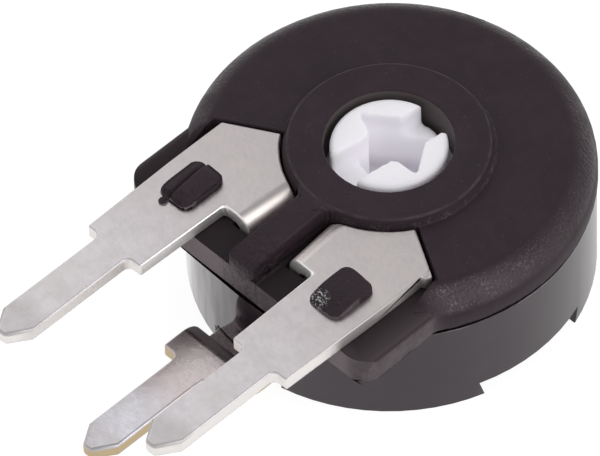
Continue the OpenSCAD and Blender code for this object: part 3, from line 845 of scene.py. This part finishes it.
def wiper_tin():
    """The lower terminal: shinier, with bare brass on its sheared sides."""
    return tin_plate(
        "Tin plate with brass edges",
        near=grey(0.57, (1, 0.88, 0.89)),
        far=grey(0.6, (1, 0.985, 1.07)),
        edge=grey(0.5, (1, 0.8, 0.5)),
        shine=0.26,
        change=(-7.4, -8.6),
    )


def build_pieces(matt):
    """Each CAD piece that shows, with its edges rounded, or all of them melted where no width is given."""
    tin = end_tin()
    rows = (
        ("front_housing", "disc_and_collar", "housing", "front_plastic", housing_edges, matt),
        ("rear_housing", "cup", "housing", "rear_plastic", cup_edges, satin_black()),
        ("rotor", "white_rotor", "rotor", "rotor_plastic", None, white_plastic()),
        ("left_terminal", "left_lug", "housing", "tinned_metal", terminal_edges, tin),
        ("right_terminal", "right_lug", "housing", "tinned_metal", terminal_edges, tin),
        ("wiper_terminal", "wiper_lug", "housing", "tinned_metal", terminal_edges, wiper_tin()),
    )
    for node, name, body, slot, width_at, finish in rows:
        piece = closed_copy(node, name)
        if node == "front_housing":
            sink_plain_heads(piece)
        if width_at:
            soften(piece, width_at)
        else:
            melt_edges(piece, ROTOR_CELL, ROTOR_PASSES)
        even_shading(piece)
        dress(piece, node, body, finish)


def build_heads(matt):
    """The two pegs' melted heads, which belong to the front housing."""
    heads = (
        ("left_head", -PEG_X, LEFT_PEG_Y, left_melt, (-0.16, -0.8, 0.12)),
        ("right_head", PEG_X, RIGHT_PEG_Y, right_melt, None),
    )
    for name, x, y, melt, blob in heads:
        head = melted_head(name, x, y, melt, blob)
        even_shading(head)
        dress(head, None, "housing", matt)


def finish_inside():
    """The wiper spring and the board stay as they are, and take their materials."""
    for node, finish in (("wiper_spring", nickel_silver()), ("resistive_board", phenolic_board())):
        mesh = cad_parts[node].data
        mesh.materials.clear()
        mesh.materials.append(finish)


# ---------- studio ----------


def floor():
    """A pale floor under the feet, which shows white and keeps the part's shadow."""
    bpy.ops.mesh.primitive_plane_add(size=1.2, location=(0, 0, -0.02 * MM))
    plane = bpy.context.active_object
    plane.name = "studio_floor"
    made = bpy.data.materials.new("Pale studio floor")
    made.use_nodes = True
    tree = made.node_tree
    tree.nodes.clear()
    path = put(tree, "ShaderNodeLightPath").outputs
    seen = either(tree, *(path[f"Is {kind} Ray"] for kind in ("Camera", "Glossy", "Transmission")))
    matt = put(tree, "ShaderNodeBsdfDiffuse", {"Color": grey(0.8)})
    faint = put(tree, "ShaderNodeBsdfDiffuse", {"Color": grey(0.2)})
    glow = put(tree, "ShaderNodeEmission", {"Color": grey(1), "Strength": 0.9})
    white = put(tree, "ShaderNodeAddShader", {0: faint.outputs[0], 1: glow.outputs[0]})
    mixed = put(tree, "ShaderNodeMixShader", {0: seen, 1: matt.outputs[0], 2: white.outputs[0]})
    put(tree, "ShaderNodeOutputMaterial", {"Surface": mixed.outputs[0]})
    plane.data.materials.append(made)


def sky():
    """White behind the part, and an even light that is a little weaker overhead."""
    world = bpy.data.worlds.new("White studio")
    bpy.context.scene.world = world
    world.use_nodes = True
    tree = world.node_tree
    tree.nodes.clear()
    seen = put(tree, "ShaderNodeLightPath").outputs["Is Camera Ray"]
    direction = put(tree, "ShaderNodeTexCoord").outputs["Generated"]
    up = put(tree, "ShaderNodeSeparateXYZ", {0: direction}).outputs[2]
    level = either(tree, ramp(tree, up, 0.1, 0.9, 0.9, 0.55), seen)
    back = put(tree, "ShaderNodeBackground", {"Color": grey(1), "Strength": level})
    put(tree, "ShaderNodeOutputWorld", {"Surface": back.outputs[0]})


def softbox(name, direction, distance, size, radiance):
    """A square lamp of even brightness, aimed at the rotor; its distance and size are in metres."""
    data = bpy.data.lights.new(name, "AREA")
    data.shape = "SQUARE"
    data.size = size
    data.energy = radiance * math.pi * size * size
    lamp = bpy.data.objects.new(name, data)
    bpy.context.scene.collection.objects.link(lamp)
    away = Vector(direction).normalized()
    lamp.location = AXIS_TOP + away * distance
    lamp.rotation_mode = "QUATERNION"
    lamp.rotation_quaternion = away.to_track_quat("Z", "Y")


def camera():
    """Looks down on the pins and the right side through a long lens."""
    azimuth, elevation, roll = math.radians(46.34), math.radians(49.64), math.radians(-2.0)
    data = bpy.data.cameras.new("camera")
    data.lens = 620
    data.sensor_width = 36
    data.clip_start, data.clip_end = 0.01, 10
    shot = bpy.data.objects.new("camera", data)
    bpy.context.scene.collection.objects.link(shot)
    bpy.context.scene.camera = shot
    level = math.cos(elevation)
    back = Vector((math.sin(azimuth) * level, -math.cos(azimuth) * level, math.sin(elevation)))
    distance = 250
    shot.location = AXIS_TOP + back * distance * MM
    aim = Vector((-0.466, -2.598, 2.743)) * MM
    turn = (shot.location - aim).to_track_quat("Z", "Y").to_matrix() @ Matrix.Rotation(roll, 3, "Z")
    shot.rotation_mode = "QUATERNION"
    shot.rotation_quaternion = turn.to_quaternion()


housing_black = matt_black()
build_pieces(housing_black)
build_heads(housing_black)
finish_inside()
floor()
sky()
softbox("right_softbox", (0.81, 0.23, 0.54), 0.25, 0.2, 2.0)
softbox("left_softbox", (-0.7, 0.1, 0.8), 0.3, 0.25, 0.8)
camera()
bpy.context.scene.view_settings.view_transform = "Standard"
